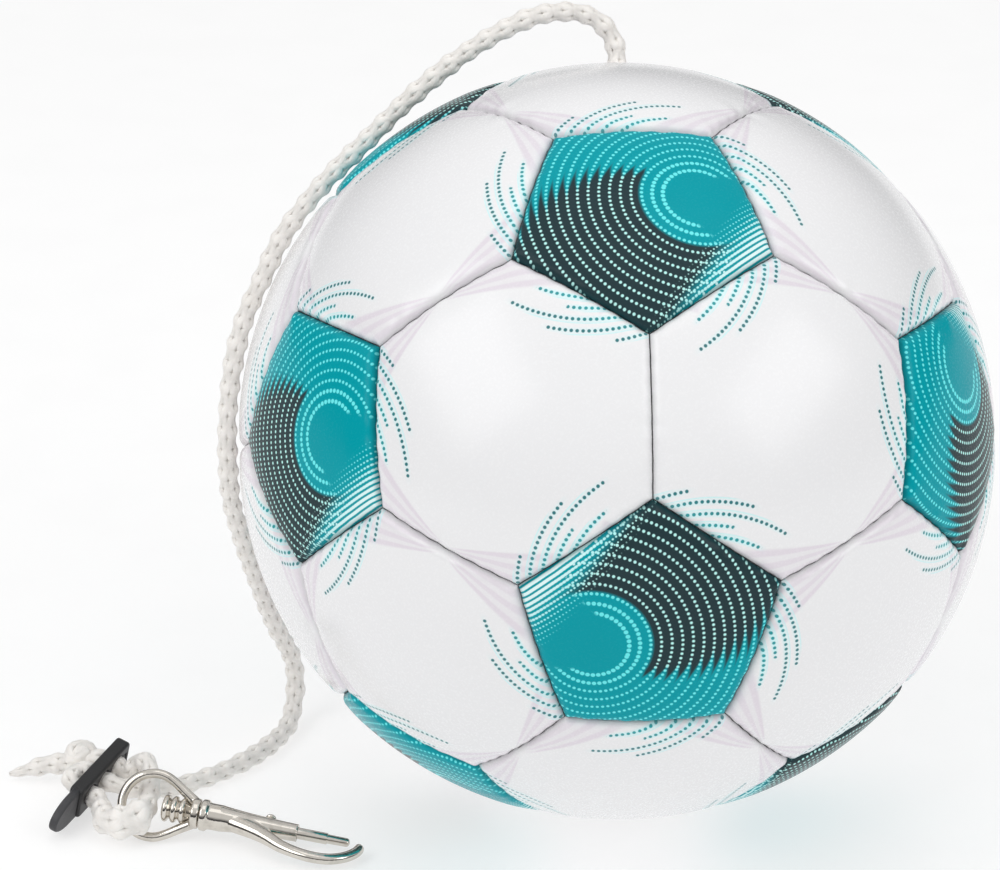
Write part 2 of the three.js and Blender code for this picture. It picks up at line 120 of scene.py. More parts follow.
# ---------------------------------------------------------------- node helpers
class Num:
    """A number in a shader: arithmetic on it makes Math nodes."""

    def __init__(self, tree, socket):
        self.tree, self.socket = tree, socket

    def math(self, operation, *others):
        node = self.tree.nodes.new("ShaderNodeMath")
        node.operation = operation
        for socket, value in zip(node.inputs, (self, *others)):
            if isinstance(value, Num):
                self.tree.links.new(value.socket, socket)
            else:
                socket.default_value = value
        return Num(self.tree, node.outputs[0])

    def __add__(self, other):
        return self.math("ADD", other)

    def __sub__(self, other):
        return self.math("SUBTRACT", other)

    def __mul__(self, other):
        return self.math("MULTIPLY", other)

    def __truediv__(self, other):
        return self.math("DIVIDE", other)

    def __neg__(self):
        return self * -1.0

    def fade(self, low, high):
        """0 at low and below, 1 at high and above; low may be the larger one."""
        node = self.tree.nodes.new("ShaderNodeMapRange")
        node.interpolation_type = "SMOOTHSTEP"
        self.tree.links.new(self.socket, node.inputs["Value"])
        node.inputs["From Min"].default_value = min(low, high)
        node.inputs["From Max"].default_value = max(low, high)
        node.inputs["To Min"].default_value = 0.0 if low < high else 1.0
        node.inputs["To Max"].default_value = 1.0 if low < high else 0.0
        return Num(self.tree, node.outputs["Result"])

    def repeat(self, period):
        """The distance from the nearest multiple of period, with its sign."""
        return (self / period + 0.5).math("FRACT") * period - period / 2


def new_material(name, colour, roughness, metallic=0.0):
    material = bpy.data.materials.new(name)
    material.use_nodes = True
    shader = material.node_tree.nodes["Principled BSDF"]
    shader.inputs["Base Color"].default_value = (*colour, 1)
    shader.inputs["Roughness"].default_value = roughness
    shader.inputs["Metallic"].default_value = metallic
    return material, material.node_tree, shader


def noise(tree, coordinates, scale, detail):
    node = tree.nodes.new("ShaderNodeTexNoise")
    tree.links.new(coordinates, node.inputs["Vector"])
    node.inputs["Scale"].default_value = scale
    node.inputs["Detail"].default_value = detail
    return Num(tree, node.outputs["Fac"])


def attribute(tree, name):
    node = tree.nodes.new("ShaderNodeAttribute")
    node.attribute_name = name
    return Num(tree, node.outputs["Fac"])


def separate(tree, vector):
    node = tree.nodes.new("ShaderNodeSeparateXYZ")
    tree.links.new(vector, node.inputs[0])
    return [Num(tree, output) for output in node.outputs]


def object_position(tree):
    return tree.nodes.new("ShaderNodeTexCoord").outputs["Object"]


def mix_colour(tree, factor, a, b):
    node = tree.nodes.new("ShaderNodeMix")
    node.data_type = "RGBA"
    links = ((factor, node.inputs["Factor"]), (a, node.inputs[6]), (b, node.inputs[7]))
    for value, socket in links:
        if isinstance(value, Num):
            tree.links.new(value.socket, socket)
        elif isinstance(value, tuple):
            socket.default_value = (*value, 1)
        else:
            tree.links.new(value, socket)
    return node.outputs[2]


def add_bump(tree, shader, height, strength, distance, under=None):
    bump = tree.nodes.new("ShaderNodeBump")
    bump.inputs["Strength"].default_value = strength
    bump.inputs["Distance"].default_value = distance
    tree.links.new(height.socket, bump.inputs["Height"])
    if under is not None:
        tree.links.new(under, bump.inputs["Normal"])
    tree.links.new(bump.outputs["Normal"], shader.inputs["Normal"])
    return bump.outputs["Normal"]


# ---------------------------------------------------------------- the printed cover
# The print is laid out round each pentagon: x and y in millimetres over the ball's surface, with
# x towards the corner where the streaks are.
CORNER = 38.5  # from a pentagon's middle to its corner
EDGE = 31.2  # and to the middle of its edge
STAR_STEP = 121.8  # between the middles of two pentagons
DISC = (13.9, 7.7)  # middle of the plain disc
DISC_RADIUS = 9.8
RING_STEP = 2.87
DOT_STEP = 1.45
RINGS_END = 27.0  # x where the rings of dots stop
STREAK_STEP = 1.45
STREAK_TURN = 32  # degrees between the streaks and the x axis
STREAK_START, STREAK_FULL = 22.0, 34.0  # where they start and are whole, along x
CHARCOAL_RADIUS = 16.2  # where it starts, from the disc's middle
CHARCOAL_END = 104.0  # degrees round the disc where it ends
FLAME_HEIGHT = 9.0  # degrees for each millimetre from a ring
SWIRL_FIRST, SWIRL_STEP = 33.5, 3.5  # dotted arcs on the white panels
SWIRL_DOT_STEP, SWIRL_DOT = 1.52, 0.5
SWIRL_SLOPE = 0.255  # millimetres outwards per degree
SWIRL_ENDS = (-16.3, -0.5, -19.0, -3.0, 22.5)  # degrees from the edge's middle
RIBBONS = ((1.9, 1.0, 0.7), (5.3, 0.95, 0.8), (8.7, 0.9, 0.85))  # middle, half width, strength
RIBBON_FAN = 10.4  # half width of all of them

WHITE = (0.88, 0.88, 0.89)
LILAC = (0.77, 0.71, 0.775)
# colour of the painted shade in the white panels' seams
WHITE_PAINTED_SHADE = (0.36, 0.35, 0.36)
TEAL = (0.001, 0.345, 0.405)
DEEP_TEAL = (0.0, 0.28, 0.33)
# colour of the painted shade in the teal panels' seams
TEAL_PAINTED_SHADE = (0.0, 0.06, 0.07)
STREAK_WHITE = (0.78, 0.96, 0.95)
CHARCOAL = (0.022, 0.045, 0.052)
AQUA = (0.16, 0.86, 0.88)
PALE_AQUA = (0.50, 0.90, 0.86)
SWIRL_DARK = (0.035, 0.19, 0.21)
SWIRL_TEAL = (0.0, 0.42, 0.46)
SWIRL_HALO = (0.55, 0.93, 0.95)


def print_place(tree):
    """x and y of the print in millimetres, distance from the pentagon's middle, and angle."""
    uv = tree.nodes.new("ShaderNodeUVMap")
    uv.uv_map = "print"
    x, y = (number * 100.0 for number in separate(tree, uv.outputs["UV"])[:2])
    return x, y, (x * x + y * y).math("SQRT"), y.math("ARCTAN2", x)


def dots(across, along, radius, blur=0.14):
    distance = (across * across + along * along).math("SQRT")
    return (distance - radius).fade(blur, -blur)


def painted_seam_shade(tree, colour, shade, strength):
    """Painted shade: the cover's colour darkens into its seams, where shade falls in the groove; the
    attribute seam is the distance from one in millimetres.
    """
    return mix_colour(tree, attribute(tree, "seam").fade(1.6, 0.1) * strength, colour, shade)


def glossy_cover(tree, shader, gloss):
    """Coated synthetic leather with a fine grain."""
    shader.inputs["Specular IOR Level"].default_value = 0.25 * gloss
    shader.inputs["Coat Weight"].default_value = 0.4 * gloss
    shader.inputs["Coat Roughness"].default_value = 0.18
    grain = noise(tree, object_position(tree), 1500.0, 3.0)
    tree.links.new((grain * 0.06 + 0.24).socket, shader.inputs["Roughness"])
    add_bump(tree, shader, grain, 0.06, 0.00012)


def teal_cover():
    material, tree, shader = new_material("teal_print", TEAL, 0.28)
    x, y, _, _ = print_place(tree)
    dx, dy = x - DISC[0], y - DISC[1]
    r = (dx * dx + dy * dy).math("SQRT")
    theta = dy.math("ARCTAN2", dx)

    ring = ((r - DISC_RADIUS) / RING_STEP).math("ROUND")
    across = r - DISC_RADIUS - ring * RING_STEP
    along = (theta * (ring * RING_STEP + DISC_RADIUS)).repeat(DOT_STEP)
    size = ring.fade(2.5, 0.5) * 0.2 + 0.42
    ringed = dots(across, along, size) * (r - DISC_RADIUS + 1.0).math("GREATER_THAN", 0.0)
    last = ((r - DISC_RADIUS) * 1.2 + 16.5).math("MINIMUM", RINGS_END)
    ringed = ringed * (x - last).fade(0.8, -0.8)

    # Streaks run along the edge that leads away from their corner. They are dots at first, which
    # grow and run together towards the corner.
    turn = math.radians(STREAK_TURN)
    from_edge = x * -math.cos(turn) + y * math.sin(turn) + EDGE
    from_corner = (-x + CORNER) * math.sin(turn) - y * math.cos(turn)
    slanted = x - y * 0.3
    nearness = slanted.fade(STREAK_START, STREAK_FULL)
    shift = (from_edge / STREAK_STEP).math("ROUND") * 0.55
    dotted = (from_corner + shift).repeat(1.15) * (-nearness * 0.75 + 1.0)
    streak = dots(from_edge.repeat(STREAK_STEP), dotted, nearness * 0.24 + 0.2, 0.12)
    streak = streak * slanted.fade(STREAK_START - 1.0, STREAK_START + 2.0) * y.fade(17.0, 13.0)

    # The charcoal sweeps from the streaks round the disc and ends in flames between the rings.
    sweep = (-theta - math.pi / 2) / (2 * math.pi) + 0.5
    sweep = sweep.math("FRACT") * 360.0 - 180.0
    flame = across.math("ABSOLUTE") * FLAME_HEIGHT
    end = -(r - 18.0) * 1.1 + CHARCOAL_END
    dark = (sweep - end - flame + 10.0).fade(4.5, -4.5) * (r - CHARCOAL_RADIUS).fade(-0.6, 0.6)
    dark = dark * slanted.fade(29.0, 23.5) * sweep.math("GREATER_THAN", -60.0)

    uneven = noise(tree, object_position(tree), 60.0, 3.0).fade(0.3, 0.7) * 0.12
    ground = mix_colour(tree, uneven, TEAL, DEEP_TEAL)
    ground = mix_colour(tree, dark, ground, CHARCOAL)
    ink = mix_colour(tree, dark, AQUA, PALE_AQUA)
    ink = mix_colour(tree, nearness, ink, STREAK_WHITE)
    colour = mix_colour(tree, ringed.math("MAXIMUM", streak), ground, ink)
    # painted shade in the seams
    colour = painted_seam_shade(tree, colour, TEAL_PAINTED_SHADE, 0.45)
    tree.links.new(colour, shader.inputs["Base Color"])
    glossy_cover(tree, shader, 0.2)
    return material


def away_from_front_seam(tree):
    """0 round the middle of the seam that faces the front, and 1 elsewhere."""
    offset = tree.nodes.new("ShaderNodeVectorMath")
    offset.operation = "DISTANCE"
    tree.links.new(object_position(tree), offset.inputs[0])
    offset.inputs[1].default_value = (ball_centre + front_way * BALL_RADIUS) * MM
    return (Num(tree, offset.outputs["Value"]) * 1000.0).fade(30.0, 31.0)


def white_cover():
    material, tree, shader = new_material("white_print", WHITE, 0.28)
    x, y, r, phi = print_place(tree)
    degrees = (phi * (180 / math.pi) - 36.0).repeat(72.0)

    level = (r + degrees * SWIRL_SLOPE - SWIRL_FIRST) / SWIRL_STEP
    arc = level.math("ROUND")
    across = (level - arc) * SWIRL_STEP
    turned_by = degrees * (math.pi / 180)
    slope = SWIRL_SLOPE * 180 / math.pi  # millimetres outwards per radian
    climb = r.math("POWER", -1.0) * slope
    length = turned_by * (turned_by * (slope / 2) + r)
    along = length.repeat(SWIRL_DOT_STEP) - across * turned_by
    start = arc * 0.0 + 90.0
    for number, stop in enumerate(SWIRL_ENDS):
        start = start + arc.math("COMPARE", number, 0.4) * (stop - 90.0)
    shown = (degrees - start).fade(-0.4, 0.4)
    dotted = dots(across - along * climb, along, SWIRL_DOT) * shown
    near = r.fade(42.0, 33.0)
    halo = across.math("ABSOLUTE").fade(1.35, 0.2) * (degrees - start).fade(-3.0, 5.0)
    halo = halo * (near * 0.5 + 0.38)
    echo = (across - 1.15).math("ABSOLUTE").fade(0.34, 0.12) * (degrees - start).fade(4.0, 11.0) * 0.6

    # Pale ribbons fan out from the middle of each white seam towards the pentagons at its ends,
    # apart from the seam in front.
    turn = (-degrees.math("ABSOLUTE") + 36.0) * (math.pi / 180)
    side = r * turn.math("SINE")
    reach = (r * turn.math("COSINE") - STAR_STEP / 2) / (CORNER - STAR_STEP / 2)
    spread = side / (reach + 0.13).math("MAXIMUM", 0.01)
    ribbons = spread.fade(RIBBON_FAN, RIBBON_FAN - 1.0) * 0.3
    for middle, half, strength in RIBBONS:
        off = (spread - middle).math("ABSOLUTE")
        ribbons = ribbons.math("MAXIMUM", off.fade(half + 0.6, half - 0.5) * strength)
    ribbons = ribbons * reach.fade(-0.02, 0.3) * reach.fade(1.55, 1.15)
    ribbons = ribbons * away_from_front_seam(tree)

    ground = mix_colour(tree, ribbons, WHITE, LILAC)
    colour = mix_colour(tree, halo.math("MAXIMUM", echo), ground, SWIRL_HALO)
    ink = mix_colour(tree, near * 0.65, SWIRL_DARK, SWIRL_TEAL)
    colour = mix_colour(tree, dotted, colour, ink)
    # painted shade in the seams
    colour = painted_seam_shade(tree, colour, WHITE_PAINTED_SHADE, 0.25)
    tree.links.new(colour, shader.inputs["Base Color"])
    glossy_cover(tree, shader, 1.0)
    return material


# ---------------------------------------------------------------- other materials
def rope_fibre():
    material, tree, shader = new_material("rope_fibre", (0.85, 0.84, 0.81), 0.5)
    shader.inputs["Sheen Weight"].default_value = 0.5
    shader.inputs["Subsurface Weight"].default_value = 0.12
    shader.inputs["Subsurface Radius"].default_value = (0.8, 0.8, 0.75)
    shader.inputs["Subsurface Scale"].default_value = 0.0012
    uv = tree.nodes.new("ShaderNodeUVMap")
    uv.uv_map = "strand"
    mapping = tree.nodes.new("ShaderNodeMapping")
    mapping.inputs["Scale"].default_value = (9.0, 26.0, 1.0)
    tree.links.new(uv.outputs["UV"], mapping.inputs["Vector"])
    fibres = noise(tree, mapping.outputs["Vector"], 1.0, 4.0)
    stained = noise(tree, object_position(tree), 120.0, 2.0).fade(0.55, 0.75) * 0.2
    # Painted shade: the rope's colour darkens where a strand lies deep under the others, and on the
    # core, where shade falls.
    crease_shade = attribute(tree, "depth").fade(0.4, 0.95) * 0.6
    colour = mix_colour(tree, fibres.fade(0.35, 0.7), (0.99, 0.96, 0.92), (0.97, 0.925, 0.87))
    colour = mix_colour(tree, stained, colour, (0.80, 0.74, 0.64))
    colour = mix_colour(tree, crease_shade, colour, (0.70, 0.68, 0.64))
    tree.links.new(colour, shader.inputs["Base Color"])
    add_bump(tree, shader, fibres, 0.5, 0.0003)
    return material


def grained(name, colour, roughness, metallic=0.0, scale=900.0, strength=0.2, other=None):
    """A moulded, felted or cast surface: fine bump, uneven gloss and a second tone in patches."""
    material, tree, shader = new_material(name, colour, roughness, metallic)
    place = object_position(tree)
    fine = noise(tree, place, scale, 4.0)
    patches = noise(tree, place, scale / 9, 2.0)
    if other is None:
        other = tuple(c * 0.8 for c in colour)
    colour = mix_colour(tree, patches.fade(0.4, 0.7), colour, other)
    tree.links.new(colour, shader.inputs["Base Color"])
    tree.links.new((patches * 0.12 + (roughness - 0.06)).socket, shader.inputs["Roughness"])
    add_bump(tree, shader, fine, strength, 0.0002)
    return material


NICKEL, WORN_NICKEL = (0.66, 0.625, 0.57), (0.46, 0.43, 0.385)


def nickel_plate():
    material, tree, shader = new_material("nickel_plate", NICKEL, 0.13, 1.0)
    place = object_position(tree)
    broad = noise(tree, place, 260.0, 3.0)
    fine = noise(tree, place, 2200.0, 2.0)
    tree.links.new((broad * 0.12 + 0.05).socket, shader.inputs["Roughness"])
    colour = mix_colour(tree, broad.fade(0.5, 0.72) * 0.5, NICKEL, WORN_NICKEL)
    tree.links.new(colour, shader.inputs["Base Color"])
    under = add_bump(tree, shader, broad, 0.10, 0.0008)
    add_bump(tree, shader, fine, 0.05, 0.0001, under)
    return material


print_teal, print_white = teal_cover(), white_cover()
rope_material, nickel = rope_fibre(), nickel_plate()
latex = grained("latex", (0.03, 0.03, 0.032), 0.55)
inner_rope = grained("inner_rope", (0.90, 0.89, 0.86), 0.6, scale=1800.0, strength=0.6)
felt = grained("felt", (0.30, 0.29, 0.28), 0.9, scale=1600.0, strength=0.8)
valve_rubber = grained("valve_rubber", (0.62, 0.61, 0.60), 0.45, scale=1400.0)
# the seam thread, made near black, which also paints the shade in the grooves
thread_and_shade_material = grained("waxed_thread_and_shade", (0.045, 0.045, 0.05), 0.5, scale=2500.0, strength=0.5)
slider_plastic = grained("slider_plastic", (0.009, 0.009, 0.010), 0.42, scale=1300.0, strength=0.22)
# Painted light: the tongue is the body's black plastic; this lighter copy stands for light on its
# face.
lit_tongue_plastic = grained("lit_tongue_plastic", (0.05, 0.05, 0.055), 0.5, scale=1700.0, strength=0.35)
spring_steel = grained("spring_steel", (0.45, 0.45, 0.45), 0.3, 1.0, scale=2500.0, strength=0.1)


# ---------------------------------------------------------------- mesh helpers
def add_object(name, data):
    thing = bpy.data.objects.new(name, data)
    bpy.context.scene.collection.objects.link(thing)
    return thing


def make_mesh(name, points, faces, material, body=ROOT, replaces=(), slot=None):
    """A mesh piece from points in millimetres that rides on a body."""
    mesh = bpy.data.meshes.new(name)
    mesh.from_pydata((np.asarray(points, float) * MM).tolist(), [], faces)
    mesh.polygons.foreach_set("use_smooth", [True] * len(mesh.polygons))
    mesh.update()
    mesh.materials.append(material)
    piece = add_object(name, mesh)
    if body:
        finish_piece(piece, body, replaces, slot)
    return piece


def finish_piece(piece, body, replaces=(), slot=None, blend_to=None):
    """Rides the piece on its body; given blend_to, it only bakes the piece's place into its mesh."""
    if blend_to:
        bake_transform(piece)
    else:
        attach(piece, body)
    if replaces:
        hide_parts(*replaces)


def applied(piece):
    """Applies a piece's modifiers to its mesh."""
    bpy.context.view_layer.update()
    shape = piece.evaluated_get(bpy.context.evaluated_depsgraph_get())
    mesh = bpy.data.meshes.new_from_object(shape)
    piece.modifiers.clear()
    piece.data = mesh
    return piece


def tube_faces(count, sides, closed_ends=True):
    """Faces of a tube of count rings that follow one another, each of as many points as sides."""
    faces = []
    for j in range(count - 1):
        for k in range(sides):
            n = (k + 1) % sides
            faces.append((j * sides + k, j * sides + n, (j + 1) * sides + n, (j + 1) * sides + k))
    if closed_ends:
        faces.append(tuple(reversed(range(sides))))
        faces.append(tuple(range((count - 1) * sides, count * sides)))
    return faces


def rings(middles, side, up, wide, high, sides):
    """Points of one ellipse after another, from their middles, the directions of their two axes, and
    how far they reach along each."""
    turn = 2 * np.pi * np.arange(sides) / sides
    across = np.cos(turn)[:, None] * (wide[:, None] * side)[:, None]
    along = np.sin(turn)[:, None] * (high[:, None] * up)[:, None]
    return (middles[:, None] + across + along).reshape(-1, 3)


def merged(shapes):
    """The points and faces of several shapes as those of one."""
    points, faces = [], []
    for shape_points, shape_faces in shapes:
        faces += [tuple(v + len(points) for v in face) for face in shape_faces]
        points += list(shape_points)
    return np.array(points), faces


def centripetal(points, step):
    """Points about a step apart along a centripetal Catmull-Rom curve through points, and how far
    along it each is."""
    points = [np.asarray(p, float) for p in points]
    ends = [2 * points[0] - points[1], *points, 2 * points[-1] - points[-2]]
    dense = []
    for p0, p1, p2, p3 in zip(ends, ends[1:], ends[2:], ends[3:]):
        roots = [np.linalg.norm(b - a) ** 0.5 for a, b in ((p0, p1), (p1, p2), (p2, p3))]
        t1, t2, t3 = np.cumsum(roots)
        for t in np.linspace(t1, t2, 40, endpoint=False):
            a1 = p0 + (p1 - p0) * (t / t1)
            a2 = p1 + (p2 - p1) * ((t - t1) / (t2 - t1))
            a3 = p2 + (p3 - p2) * ((t - t2) / (t3 - t2))
            b1 = a1 + (a2 - a1) * (t / t2)
            b2 = a2 + (a3 - a2) * ((t - t1) / (t3 - t1))
            dense.append(b1 + (b2 - b1) * ((t - t1) / (t2 - t1)))
    dense = np.array([*dense, points[-1]])
    run = np.concatenate([[0], np.cumsum(np.linalg.norm(np.diff(dense, axis=0), axis=1))])
    count = max(3, round(run[-1] / step) + 1)
    at = np.linspace(0, run[-1], count)
    return np.stack([np.interp(at, run, dense[:, i]) for i in range(3)], axis=1), at


def frames_along(path):
    """Tangents and two side directions that turn as little as they can."""
    tangents = units(np.gradient(path, axis=0))
    side = unit(np.cross(tangents[0], vec(0.3, 0.1, 1)))
    sides = []
    for tangent in tangents:
        side = unit(side - tangent * (side @ tangent))
        sides.append(side)
    sides = np.array(sides)
    return tangents, sides, np.cross(tangents, sides)


# ---------------------------------------------------------------- cover panels
def star_frame(index):
    """Middle and the two print directions of a pentagon, x towards its streak corner."""
    streaks_towards = {0: 2, 2: 1, 6: 8, 8: 6}
    target = streaks_towards.get(index, neighbours[index][index % 5])
    middle = unit(stars[index])
    x = stars[target] - middle * (stars[target] @ middle)
    return middle, unit(x), np.cross(middle, unit(x))


def print_coordinates(directions, index):
    middle, x, y = star_frame(index)
    angle = np.arccos(np.clip(directions @ middle, -1, 1))
    flat = np.stack([directions @ x, directions @ y], axis=1)
    length = np.maximum(np.linalg.norm(flat, axis=1), 1e-9)
    return flat / length[:, None] * (BALL_RADIUS * angle)[:, None] / 100.0


def sorted_around(middle, corners):
    side = unit(np.cross(middle, corners[0]))
    front = np.cross(side, middle)
    return sorted(corners, key=lambda c: math.atan2(c @ side, c @ front))


def pucker(distance, along, seed):
    """How far the stitches pull a panel's edge in, and its soft wrinkles."""
    pull = 0.5 + 0.5 * np.cos(2 * np.pi * (STITCHES * along + 0.5))
    wrinkle = np.sin(2 * np.pi * (STITCHES * along * 0.5 + seed * 0.37)) * np.sin(7 * along + seed)
    pull = PULL_DEPTH * pull * np.exp(-((distance / PULL_REACH) ** 2))
    return pull + WRINKLE_DEPTH * wrinkle * np.exp(-((distance / WRINKLE_REACH) ** 2))


def panel_grid(middle, corners):
    """Rings of points from a panel's middle to its rim: their directions from the ball's middle, how
    far they are from the seam, and how far along it, from 0 to 1."""
    count = len(corners)
    seam_middle = unit(corners[0] + corners[1])
    shrink = 1 - SEAM_GAP / 2 / (BALL_RADIUS * math.acos(middle @ seam_middle))
    rim = [middle + (c - middle) * shrink for c in corners]
    steps = 1 - (1 - np.arange(PANEL_RINGS + 1) / PANEL_RINGS) ** 1.5
    ways, distances, alongs = [middle], [99.0], [0.5]
    for i in range(1, PANEL_RINGS + 1):
        for s in range(count):
            a, b = rim[s], rim[(s + 1) % count]
            normal = unit(np.cross(corners[s], corners[(s + 1) % count]))
            for k in range(i):
                way = unit(middle * (1 - steps[i]) + (a * (i - k) + b * k) * (steps[i] / i))
                ways.append(way)
                distances.append(BALL_RADIUS * math.asin(abs(way @ normal)))
                alongs.append(k / i)
    return np.array(ways), np.array(distances), np.array(alongs)


def panel_radii(ways, distances, alongs, middle, bulge, seed):
    """How far each point of a panel's outside is from the ball's middle."""
    rounding = np.clip(1 - distances / SEAM_LIP, 0, 1)
    radii = BALL_RADIUS - SEAM_DEPTH * (1 - np.sqrt(1 - np.minimum(rounding, 0.999) ** 2))
    slope = SLOPE_DEPTH * np.exp(-distances / SLOPE_REACH)
    radii -= slope - bulge * (1 - np.exp(-distances / BULGE_REACH))
    radii -= pucker(distances, alongs, seed)
    if middle @ valve_way > 0.999:
        tangent = ways - middle * (ways @ middle)[:, None]
        off = BALL_RADIUS * np.linalg.norm(tangent, axis=1)
        radii -= DISH_DEPTH * np.clip((DISH_RADIUS - off) / DISH_EDGE, 0, 1)
    return np.minimum(radii, BALL_RADIUS + 0.12)


def panel_faces(count):
    """Triangles between the rings of points of a panel with count corners."""
    def index(i, s, k):
        if i == 0:
            return 0
        return 1 + count * i * (i - 1) // 2 + (s * i + k) % (count * i)

    faces = []
    for i in range(PANEL_RINGS):
        for s in range(count):
            for k in range(i + 1):
                faces.append((index(i, s, k), index(i + 1, s, k), index(i + 1, s, k + 1)))
                if k < i:
                    faces.append((index(i, s, k), index(i + 1, s, k + 1), index(i, s, k + 1)))
    return faces


def lay_print(piece, points, faces, star_indices):
    """Keeps the print's coordinates per face, so that no face spans two pentagons' prints."""
    ways = units(points - ball_centre)
    layouts = np.array([print_coordinates(ways, i) for i in star_indices])
    middles = np.array([unit(stars[i]) for i in star_indices])
    uv = np.zeros((len(piece.data.loops), 2))
    loop = 0
    for face in faces:
        nearest = int(np.argmax(middles @ ways[list(face)].sum(axis=0)))
        uv[loop:loop + len(face)] = layouts[nearest][list(face)]
        loop += len(face)
    piece.data.uv_layers.new(name="print").data.foreach_set("uv", uv.ravel())


def build_panel(name, middle, corners, star_indices, material, slot, bulge, seed):
    """One cut and stitched panel. seed varies its wrinkles."""
    corners = sorted_around(middle, corners)
    ways, distances, alongs = panel_grid(middle, corners)
    radii = panel_radii(ways, distances, alongs, middle, bulge, seed)
    around = len(corners) * PANEL_RINGS
    rim = len(ways) - around
    outer = ball_centre + ways * radii[:, None]
    inner = ball_centre + ways[rim:] * COVER_INNER
    points = np.concatenate([outer, inner, [ball_centre + middle * COVER_INNER]])
    open_for_rope(points, middle)
    points[:, 2] = np.maximum(points[:, 2], FLOOR_GAP)

    # Below the outside come the panel's cut edge and its flat back.
    faces = panel_faces(len(corners))
    tops, last = len(faces), len(points) - 1
    for j in range(around):
        n = (j + 1) % around
        faces.append((rim + j, len(ways) + j, len(ways) + n, rim + n))
        faces.append((len(ways) + j, last, len(ways) + n))
    piece = make_mesh(name + "_cover", points, faces, material, replaces=(name,), slot=slot)
    lay_print(piece, points, faces, star_indices)
    seam = piece.data.attributes.new("seam", "FLOAT", "POINT")
    seam.data.foreach_set("value", np.pad(distances, (0, len(points) - len(distances))))
    smooth = np.ones(len(faces), bool)
    smooth[tops:] = False
    piece.data.polygons.foreach_set("use_smooth", smooth)


def open_for_rope(points, middle):
    """Spreads the seam's two lips round the rope, as an eye-shaped slit."""
    across = unit(np.cross(rope_way, vec(1, 0, 0)))
    offset = points - ball_centre
    along = offset[:, 0] - EXIT_SHIFT
    side = offset @ across
    up = offset @ rope_way > 0
    sign = 1.0 if middle @ across > 0 else -1.0
    slit = (ROPE_RADIUS + SLIT_GAP) * np.sqrt(np.clip(1 - (along / SLIT_HALF_LENGTH) ** 2, 0, 1))
    wider = np.sqrt(side**2 + slit**2)
    moved = np.where(up & (side * sign > -1) & (np.abs(side) < 25), sign * wider - side, 0.0)
    if abs(middle @ rope_way) > 0.5:
        points += moved[:, None] * across


def build_cover():
    for i in range(12):
        corners = [unit(2 * stars[i] + stars[j]) for j in neighbours[i]]
        build_panel(f"pentagon_panel_{i + 1:02d}", unit(stars[i]), corners, [i], print_teal,
                    "teal_cover", TEAL_BULGE, i)
    triangles = [(a, b, c) for a in range(12) for b in range(a + 1, 12) for c in range(b + 1, 12)
                 if is_edge(a, b) and is_edge(a, c) and is_edge(b, c)]
    for i, triangle in enumerate(triangles):
        corners = [unit(2 * stars[a] + stars[b]) for a in triangle for b in triangle if a != b]
        middle = unit(sum(stars[a] for a in triangle))
        build_panel(f"hexagon_panel_{i + 1:02d}", middle, corners, list(triangle), print_white,
                    "white_cover", WHITE_BULGE, 20 + i)


def build_stitches():
    """One waxed thread lies at the bottom of the seams, with a stitch at each hole. Its near-black
    colour also paints the shade at the bottom of the grooves.
    """
    seams = []
    for a in range(12):
        for b in neighbours[a]:
            if a < b:
                seams.append((unit(2 * stars[a] + stars[b]), unit(2 * stars[b] + stars[a])))
            others = [c for c in neighbours[a] if is_edge(b, c) and b < c]
            seams += [(unit(2 * stars[a] + stars[b]), unit(2 * stars[a] + stars[c])) for c in others]
    samples, sides = STITCHES * 6 + 1, 6
    height = BALL_RADIUS - SEAM_DEPTH - 0.75
    t = np.linspace(0, 1, samples)[:, None]
    phase = 2 * np.pi * STITCHES * t
    size = np.full(samples, THREAD_RADIUS)
    threads = []
    for start, end in seams:
        normal = unit(np.cross(start, end))
        ways = units(start * (1 - t) + end * t)
        middles = ball_centre + ways * (height + 0.28 * np.cos(phase)) + normal * 0.22 * np.sin(phase)
        threads.append((rings(middles, ways, normal, size, size, sides), tube_faces(samples, sides)))
    points, faces = merged(threads)
    near_rope = np.linalg.norm((points - ball_centre) - exit_way * height, axis=1) < 7
    points[near_rope] = (points[near_rope] - ball_centre) * 0.965 + ball_centre
    points[:, 2] = np.maximum(points[:, 2], 0.6)
    make_mesh("seam_stitching", points, faces, thread_and_shade_material, slot="white_cover")


# ---------------------------------------------------------------- turned pieces
EDGE_BEVEL = 0.16


def placed(matrix, rows):
    """Points of a local frame, in the CAD frame."""
    return [vec(*(matrix @ Vector(row))) for row in rows]


def lathe(name, profile, frame_matrix, material, **facts):
    """A solid of revolution about the frame's Z axis from (radius, height) pairs, in order."""
    segments = 48
    radii, heights = np.array(profile, float).T
    radii = np.maximum(radii, 1e-4)
    points = rings(heights[:, None] * vec(0, 0, 1), vec(1, 0, 0), vec(0, 1, 0), radii, radii, segments)
    faces = tube_faces(len(profile), segments, closed_ends=False)
    piece = make_mesh(name, placed(frame_matrix, points), faces, material, body=None)
    weld = bmesh.new()
    weld.from_mesh(piece.data)
    bmesh.ops.remove_doubles(weld, verts=weld.verts, dist=2e-6)
    bmesh.ops.recalc_face_normals(weld, faces=weld.faces)
    weld.to_mesh(piece.data)
    weld.free()
    bevel = piece.modifiers.new("edges", "BEVEL")
    bevel.width, bevel.segments, bevel.limit_method = EDGE_BEVEL * MM, 3, "ANGLE"
    bevel.angle_limit = math.radians(28)
    finish_piece(applied(piece), **facts)
    return piece


def frame_from(origin, x, y, z):
    matrix = Matrix.Identity(4)
    for column, axis in enumerate((x, y, z, origin)):
        for row in range(3):
            matrix[row][column] = axis[row]
    return matrix


def pointing(direction, origin):
    z = unit(direction)
    x = unit(np.cross(vec(0.2, 1, 0.1), z))
    return frame_from(origin, x, np.cross(z, x), z)


